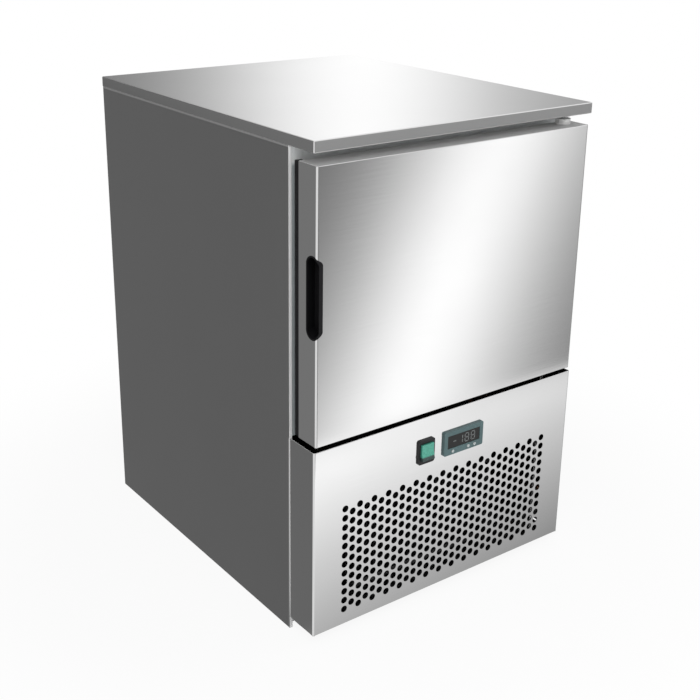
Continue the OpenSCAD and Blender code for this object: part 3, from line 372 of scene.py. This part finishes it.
# Radius of every sharp edge of a piece.
EDGE_RADIUS = {
    "side_panel_left": 0.00045,
    "side_panel_right": 0.00045,
    "back_panel": 0.0003,
    "rear_cover": 0.0002,
    "front_frame": 0.0003,
    "switch_frame": 0.0008,
    "switch_rocker": 0.0008,
    "controller_frame": 0.0006,
    "controller_window": 0.0003,
    "handle_pocket": 0.0007,
    "top_hinge_bush": 0.0008,
    "bottom_hinge_bush": 0.0005,
    "top_hinge_bracket": 0.0005,
    "bottom_hinge_bracket": 0.0005,
    "key_set": 0.0003,
    "key_down": 0.0003,
    "key_up": 0.0003,
    "cable_gland": 0.0005,
    "door_gasket": 0.0008,
    "breaker_strip": 0.0005,
    "rack_left": 0.0003,
    "rack_right": 0.0003,
}
# Radius of the outer edges only, for hollow sheet metal: (radius, reach, open depth at the back).
# An edge is an outer one where it lies on two sides of the piece's box. A reach lets the level
# edges stand off the upright sides by a bend's radius; the bends themselves are round already.
OUTER_RADIUS = {
    "worktop": (0.0016, 0.0001, 0.0),
    "door_skin": (0.0012, 0.004, 0.005),
    "lower_panel": (0.0009, 0.004, 0.005),
}
SHARP = math.radians(35)
ON_PLANE = 0.0001


def outer_edges(g, shape, reach, open_back):
    """1 on edges that lie on two sides of the piece's box, in front of its open back."""
    box = g.node("GeometryNodeBoundBox", {"Geometry": shape}).outputs
    low, high = g.axes(box["Min"]), g.axes(box["Max"])
    place = g.axes(g.node("GeometryNodeInputPosition").outputs[0])

    def near(axis, limit):
        below = g.math("ABSOLUTE", g.math("SUBTRACT", place[axis], low[axis]))
        above = g.math("ABSOLUTE", g.math("SUBTRACT", place[axis], high[axis]))
        return g.math("LESS_THAN", g.math("MINIMUM", below, above), limit)

    if reach > ON_PLANE:
        upright = g.math("MAXIMUM", near("X", reach), near("Y", reach))
        outer = g.math("MULTIPLY", upright, near("Z", ON_PLANE))
    else:
        sides = g.math("ADD", g.math("ADD", near("X", reach), near("Y", reach)), near("Z", reach))
        outer = g.math("GREATER_THAN", sides, 1.5)
    back = g.math("SUBTRACT", high["Y"], open_back - ON_PLANE)
    return g.math("MULTIPLY", outer, g.math("LESS_THAN", place["Y"], back))


def mark_edges(reach, open_back):
    """Geometry nodes that give the edges to be rounded a bevel weight, and keep others sharp."""
    tree = bpy.data.node_groups.new("marked_edges", "GeometryNodeTree")
    for way in ("INPUT", "OUTPUT"):
        tree.interface.new_socket("Geometry", in_out=way, socket_type="NodeSocketGeometry")
    g = Graph(tree)
    shape = g.node("NodeGroupInput").outputs[0]
    angle = g.node("GeometryNodeInputMeshEdgeAngle").outputs["Unsigned Angle"]
    sharp = g.math("GREATER_THAN", angle, SHARP)
    weight = sharp
    if reach is not None:
        weight = g.math("MULTIPLY", sharp, outer_edges(g, shape, reach, open_back))
    marked = g.node(
        "GeometryNodeStoreNamedAttribute",
        {"Geometry": shape, "Name": "bevel_weight_edge", "Value": weight},
        data_type="FLOAT", domain="EDGE",
    ).outputs[0]
    crisp = g.node(
        "GeometryNodeSetMeshNormal",
        {"Mesh": marked, "Remove Custom": True, "Edge Sharpness": g.math("SUBTRACT", sharp, weight)},
        mode="SHARPNESS",
    ).outputs[0]
    g.node("NodeGroupOutput", {0: crisp})
    return tree


def round_edges(name, radius, reach=None, open_back=0.0):
    made = nodes[name].modifiers
    made.new("weld", "WELD").merge_threshold = 0.000002
    made.new("mark", "NODES").node_group = mark_edges(reach, open_back)
    bevel = made.new("edge", "BEVEL")
    bevel.width = radius
    bevel.segments = 2 if reach is None else 3
    bevel.limit_method = "WEIGHT"
    bevel.use_clamp_overlap = reach is None
    normals = made.new("normals", "WEIGHTED_NORMAL")
    normals.keep_sharp = True


for name, radius in EDGE_RADIUS.items():
    round_edges(name, radius)
for name, (radius, reach, open_back) in OUTER_RADIUS.items():
    round_edges(name, radius, reach, open_back)

# ---- display ----------------------------------------------------------------------------------

SEGMENTS = {"-": "g", "1": "bc", "8": "abcdefg"}
READING = "-188"
DIGIT_H = 0.0135
DIGIT_W = 0.0072
DIGIT_STEP = 0.0125
STROKE = 0.0016
DIGIT_PROUD = 0.00012


def digit_bars(character):
    """The bars of one seven-segment character, as (middle x, middle z, width, height)."""
    side_h = DIGIT_H / 2 - STROKE
    across = DIGIT_W - STROKE
    bars = {
        "a": (0, DIGIT_H / 2, across, STROKE),
        "b": (DIGIT_W / 2, DIGIT_H / 4, STROKE, side_h),
        "c": (DIGIT_W / 2, -DIGIT_H / 4, STROKE, side_h),
        "d": (0, -DIGIT_H / 2, across, STROKE),
        "e": (-DIGIT_W / 2, -DIGIT_H / 4, STROKE, side_h),
        "f": (-DIGIT_W / 2, DIGIT_H / 4, STROKE, side_h),
        "g": (0, 0, across, STROKE),
    }
    return [bars[s] for s in SEGMENTS[character]]


def add_box(mesh, low, high):
    made = bmesh.ops.create_cube(mesh, size=1.0)["verts"]
    middle = (Vector(low) + Vector(high)) / 2
    size = Vector(high) - Vector(low)
    place = Matrix.Translation(middle) @ Matrix.Diagonal((*size, 1.0))
    bmesh.ops.transform(mesh, matrix=place, verts=made)


def piece(name, mesh, body, material):
    data = bpy.data.meshes.new(name)
    mesh.to_mesh(data)
    mesh.free()
    data.materials.append(material)
    made = bpy.data.objects.new(name, data)
    bpy.context.scene.collection.objects.link(made)
    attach(made, body)
    return made


window_low, window_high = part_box("controller_window")
window_middle = (window_low + window_high) / 2
digits = bmesh.new()
for index, character in enumerate(READING):
    x = window_middle.x + (index - (len(READING) - 1) / 2) * DIGIT_STEP
    for bar_x, bar_z, bar_w, bar_h in digit_bars(character):
        z = window_middle.z + bar_z
        low = (x + bar_x - bar_w / 2, window_low.y - DIGIT_PROUD, z - bar_h / 2)
        high = (x + bar_x + bar_w / 2, window_low.y + DIGIT_PROUD, z + bar_h / 2)
        add_box(digits, low, high)
digit_look = plastic("display_bars", (0.13, 0.14, 0.14), 0.3, wear=1.05)
piece("display_digits", digits, "cabinet", digit_look)

# ---- gasket lip -------------------------------------------------------------------------------

LIP_DEPTH = 0.011
LIP_RIM = 0.0015
RIB_STEP = 0.004
RIB_PROUD = 0.0005


def make_gasket_lip():
    """Ribbed rubber lip outside the door's gasket, on the handle's side and below."""
    seal_low, seal_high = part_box("door_gasket")
    door_low, door_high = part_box("door_skin")
    near, far = door_high.y + ON_PLANE, door_high.y + LIP_DEPTH
    left, right = door_low.x + LIP_RIM, seal_high.x
    bottom, top = door_low.z + LIP_RIM, door_high.z - LIP_RIM
    lip = bmesh.new()
    add_box(lip, (left, near, bottom), (seal_low.x, far, top))
    add_box(lip, (seal_low.x, near, bottom), (right, far, seal_low.z))
    for index in range(int((top - bottom) / RIB_STEP)):
        z = bottom + index * RIB_STEP
        add_box(lip, (left - RIB_PROUD, near + LIP_RIM, z), (left, far - LIP_RIM, z + RIB_STEP / 2))
    piece("gasket_lip", lip, "door", looks["seal_rubber"])


make_gasket_lip()

# ---- floor and world --------------------------------------------------------------------------


def is_ray(g, *kinds):
    """1 for a ray of any of these kinds."""
    path = g.node("ShaderNodeLightPath")
    total = path.outputs[kinds[0]]
    for kind in kinds[1:]:
        total = g.math("ADD", total, path.outputs[kind], clamp=True)
    return total


def falling(g, ratio, power):
    """A soft hump: 1 where the ratio is 0, and about a third where it is 1 or -1."""
    size = g.math("POWER", g.math("ABSOLUTE", ratio), power)
    return g.math("EXPONENT", g.math("MULTIPLY", size, -1.0))


# Tones are what polished metal mirrors: 1 is white. Slopes are per metre, as Graph.plane takes them.
SIDE_TONE = 0.24
CORNER_TONE = 0.85
BAND_MIDDLE = (0.673, 0.740, 0.387)
BAND_WIDTH = (0.053, -0.047, 0.149)
BAND_LEAST = 0.12
BAND_POWER = 1.86
BAND_TONE = 1.11
FAR_TONE = 0.176
# Nearer, the floor brightens with its distance in front, up to NEAR_REACH, and darkens to the right.
NEAR_REACH = 0.74
NEAR_RISE, NEAR_START = 1.867, -0.16
SLANT_RISE, SLANT_START = 0.197, 0.322
NEAR_LEAST, NEAR_MOST = 0.2, 1.2
# The places, in y, where the near floor ends and the far one starts, and where the front starts.
NEAR_END, FAR_START = -0.82, -0.85
BESIDE_END, FRONT_START = -0.24, -0.33
# The corner's white sector, as slopes of lines from the corner, and its soft edge.
CORNER_DARK, CORNER_LIT = -0.9, -0.5
CORNER_SOFT = 0.02
TINY = 0.001


def studio_floor(g):
    """What polished metal sees of the floor: softboxes' bands in front, and grey beside.

    The door shows the floor from 0.85 m in front of the chiller's middle, and the lower panel what
    is nearer. The floor off the front left corner is white, which lights the rounded edges.
    """
    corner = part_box("worktop")[0]
    place = g.axes(g.node("ShaderNodeNewGeometry").outputs["Position"])
    x, y = place["X"], place["Y"]
    width = g.math("MAXIMUM", g.plane(x, y, BAND_WIDTH), BAND_LEAST)
    band = falling(g, g.math("DIVIDE", g.plane(x, y, BAND_MIDDLE), width), BAND_POWER)
    far = g.math("MULTIPLY_ADD", band, BAND_TONE, FAR_TONE)
    depth = g.math("MINIMUM", g.math("MULTIPLY", y, -1.0), NEAR_REACH)
    level = g.math("MULTIPLY_ADD", depth, NEAR_RISE, NEAR_START)
    slant = g.math("MULTIPLY", x, g.math("MULTIPLY_ADD", depth, SLANT_RISE, SLANT_START))
    lifted = g.math("MAXIMUM", g.math("SUBTRACT", level, slant), NEAR_LEAST)
    near = g.math("MINIMUM", lifted, NEAR_MOST)
    front = g.blend(g.ramp(y, NEAR_END, FAR_START), near, far)
    tone = g.blend(g.ramp(y, BESIDE_END, FRONT_START, smooth=True), SIDE_TONE, front)
    from_corner_x = g.math("SUBTRACT", x, corner.x)
    from_corner_y = g.math("SUBTRACT", y, corner.y)
    slope = g.math("DIVIDE", from_corner_y, g.math("MINIMUM", from_corner_x, -TINY))
    in_sector = g.ramp(slope, CORNER_DARK, CORNER_LIT, smooth=True)
    to_the_left = g.ramp(from_corner_x, CORNER_SOFT, -CORNER_SOFT)
    return g.blend(g.math("MULTIPLY", in_sector, to_the_left), tone, CORNER_TONE)


FLOOR_HALF = 20.0
# How much of the floor's look is plain white to the camera, near the chiller and away from it.
WHITE_NEAR, WHITE_FAR = 0.9, 1.0
NEAR_CHILLER, AWAY = 0.45, 0.95


def make_floor():
    flat = bmesh.new()
    corners = ((-1, -1), (1, -1), (1, 1), (-1, 1))
    flat.faces.new([flat.verts.new((x * FLOOR_HALF, y * FLOOR_HALF, 0.0)) for x, y in corners])
    data = bpy.data.meshes.new("floor")
    flat.to_mesh(data)
    flat.free()
    made = bpy.data.objects.new("floor", data)
    bpy.context.scene.collection.objects.link(made)
    made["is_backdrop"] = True
    look, g = new_material("floor")
    matt = g.node("ShaderNodeBsdfDiffuse", {"Color": (0.93, 0.93, 0.93, 1)}).outputs[0]
    white = g.node("ShaderNodeEmission", {"Color": (1, 1, 1, 1), "Strength": 1.0}).outputs[0]
    studio = g.node("ShaderNodeEmission", {"Strength": studio_floor(g)}).outputs[0]
    place = g.node("ShaderNodeNewGeometry").outputs["Position"]
    distance = g.node("ShaderNodeVectorMath", {0: place}, operation="LENGTH").outputs["Value"]
    cover = g.ramp(distance, NEAR_CHILLER, AWAY, WHITE_NEAR, WHITE_FAR, smooth=True)
    seen_white = g.math("MULTIPLY", is_ray(g, "Is Camera Ray"), cover)
    seen = g.node("ShaderNodeMixShader", {0: seen_white, 1: matt, 2: white}).outputs[0]
    mirrored = is_ray(g, "Is Glossy Ray", "Is Transmission Ray")
    shader = g.node("ShaderNodeMixShader", {0: mirrored, 1: seen, 2: studio}).outputs[0]
    g.node("ShaderNodeOutputMaterial", {"Surface": shader})
    data.materials.append(look)


make_floor()

# The world's bright upright bands stand every quarter turn from this azimuth. Each is narrower on
# its left, and its foot is paler on its right, from TAIL_START to TAIL_END off its middle.
BRIGHT_AZIMUTH = math.radians(37.5)
BANDS = 4.0
NARROW_LEFT, NARROW_RIGHT = 6.6, 6.1
LOBE_TONE = 1.16
FOOT_TONE, TAIL_TONE = 0.2, 0.32
TAIL_START, TAIL_END = 0.12, 0.2
# Steeply above, and above the horizon in front, the world is white.
OVERHEAD_TONE = 1.15
OVERHEAD = (0.4, 0.55)
HORIZON = (0.0, 0.12)
IN_FRONT = (0.05, -0.2)
PLAIN_LIGHT = 0.5
STUDIO_GREY = 0.8


def studio_tone(g):
    """What polished metal sees of the world."""
    way = g.axes(g.node("ShaderNodeTexCoord").outputs["Generated"])
    azimuth = g.math("ARCTAN2", way["X"], way["Y"])
    off = g.math("SUBTRACT", azimuth, BRIGHT_AZIMUTH)
    narrow = g.ramp(off, 0.0, TINY, NARROW_LEFT, NARROW_RIGHT)
    wave = g.math("SUBTRACT", g.math("COSINE", g.math("MULTIPLY", off, BANDS)), 1.0)
    lobe = g.math("EXPONENT", g.math("MULTIPLY", wave, narrow))
    foot = g.ramp(off, TAIL_START, TAIL_END, FOOT_TONE, TAIL_TONE)
    level = g.math("MULTIPLY_ADD", lobe, LOBE_TONE, foot)
    in_front = g.math("MULTIPLY", g.ramp(way["Z"], *HORIZON), g.ramp(way["Y"], *IN_FRONT))
    high = g.math("MAXIMUM", g.ramp(way["Z"], *OVERHEAD, smooth=True), in_front)
    return g.blend(high, level, OVERHEAD_TONE)


def make_world():
    """White behind the object, plain light on it, and a soft studio for polished metal."""
    world = bpy.data.worlds.new("studio")
    bpy.context.scene.world = world
    world.use_nodes = True
    g = Graph(world.node_tree)

    def background(grey, strength):
        inputs = {"Color": (grey, grey, grey, 1), "Strength": strength}
        return g.node("ShaderNodeBackground", inputs).outputs[0]

    studio = background(STUDIO_GREY, studio_tone(g))
    plain, white = background(1.0, PLAIN_LIGHT), background(1.0, 1.0)
    mirrored = is_ray(g, "Is Glossy Ray")
    lit = g.node("ShaderNodeMixShader", {0: mirrored, 1: plain, 2: studio}).outputs[0]
    seen = is_ray(g, "Is Camera Ray", "Is Transmission Ray")
    shader = g.node("ShaderNodeMixShader", {0: seen, 1: lit, 2: white}).outputs[0]
    g.node("ShaderNodeOutputWorld", {"Surface": shader})


make_world()

# ---- lamps and camera -------------------------------------------------------------------------


def softbox(name, place, aim, size, power):
    lamp = bpy.data.lights.new(name, "AREA")
    lamp.shape = "SQUARE"
    lamp.size = size
    lamp.energy = power
    made = bpy.data.objects.new(name, lamp)
    made.location = place
    made.rotation_euler = (Vector(aim) - Vector(place)).to_track_quat("-Z", "Y").to_euler()
    made.visible_glossy = False
    bpy.context.scene.collection.objects.link(made)


MIDDLE = (0.0, 0.0, 0.4)
softbox("key", (-1.5, -2.0, 2.4), MIDDLE, 1.8, 34.0)
softbox("fill", (2.2, -1.4, 1.8), MIDDLE, 1.6, 12.0)
softbox("low_front", (0.0, -1.75, 0.12), (0.0, -0.25, 0.75), 0.9, 11.0)

# The camera, from the worktop's front left top corner.
CAMERA_FROM_CORNER = Vector((-0.8368, -1.18649, 0.30695))
HEADING = math.radians(37.113)
TILT = math.radians(-19.2528)
ROLL = math.radians(0.867)
FOCAL_PX = 1158.63
AXIS_ABOVE_MIDDLE_PX = 60.0
PICTURE_PX = 700.0
SENSOR_MM = 36.0


def make_camera():
    corner_low, corner_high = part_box("worktop")
    corner = Vector((corner_low.x, corner_low.y, corner_high.z))
    level = math.cos(TILT)
    ahead = Vector((math.sin(HEADING) * level, math.cos(HEADING) * level, math.sin(TILT)))
    right = Vector((math.cos(HEADING), -math.sin(HEADING), 0.0))
    up = right.cross(ahead)
    rolled_right = right * math.cos(ROLL) + up * math.sin(ROLL)
    rolled_up = up * math.cos(ROLL) - right * math.sin(ROLL)
    data = bpy.data.cameras.new("camera")
    data.sensor_width = SENSOR_MM
    data.lens = SENSOR_MM * FOCAL_PX / PICTURE_PX
    data.shift_y = -AXIS_ABOVE_MIDDLE_PX / PICTURE_PX
    made = bpy.data.objects.new("camera", data)
    turn = Matrix((rolled_right, rolled_up, -ahead)).transposed()
    made.matrix_world = Matrix.Translation(corner + CAMERA_FROM_CORNER) @ turn.to_4x4()
    bpy.context.scene.collection.objects.link(made)
    bpy.context.scene.camera = made


make_camera()
bpy.context.scene.view_settings.view_transform = "Standard"

low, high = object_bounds()
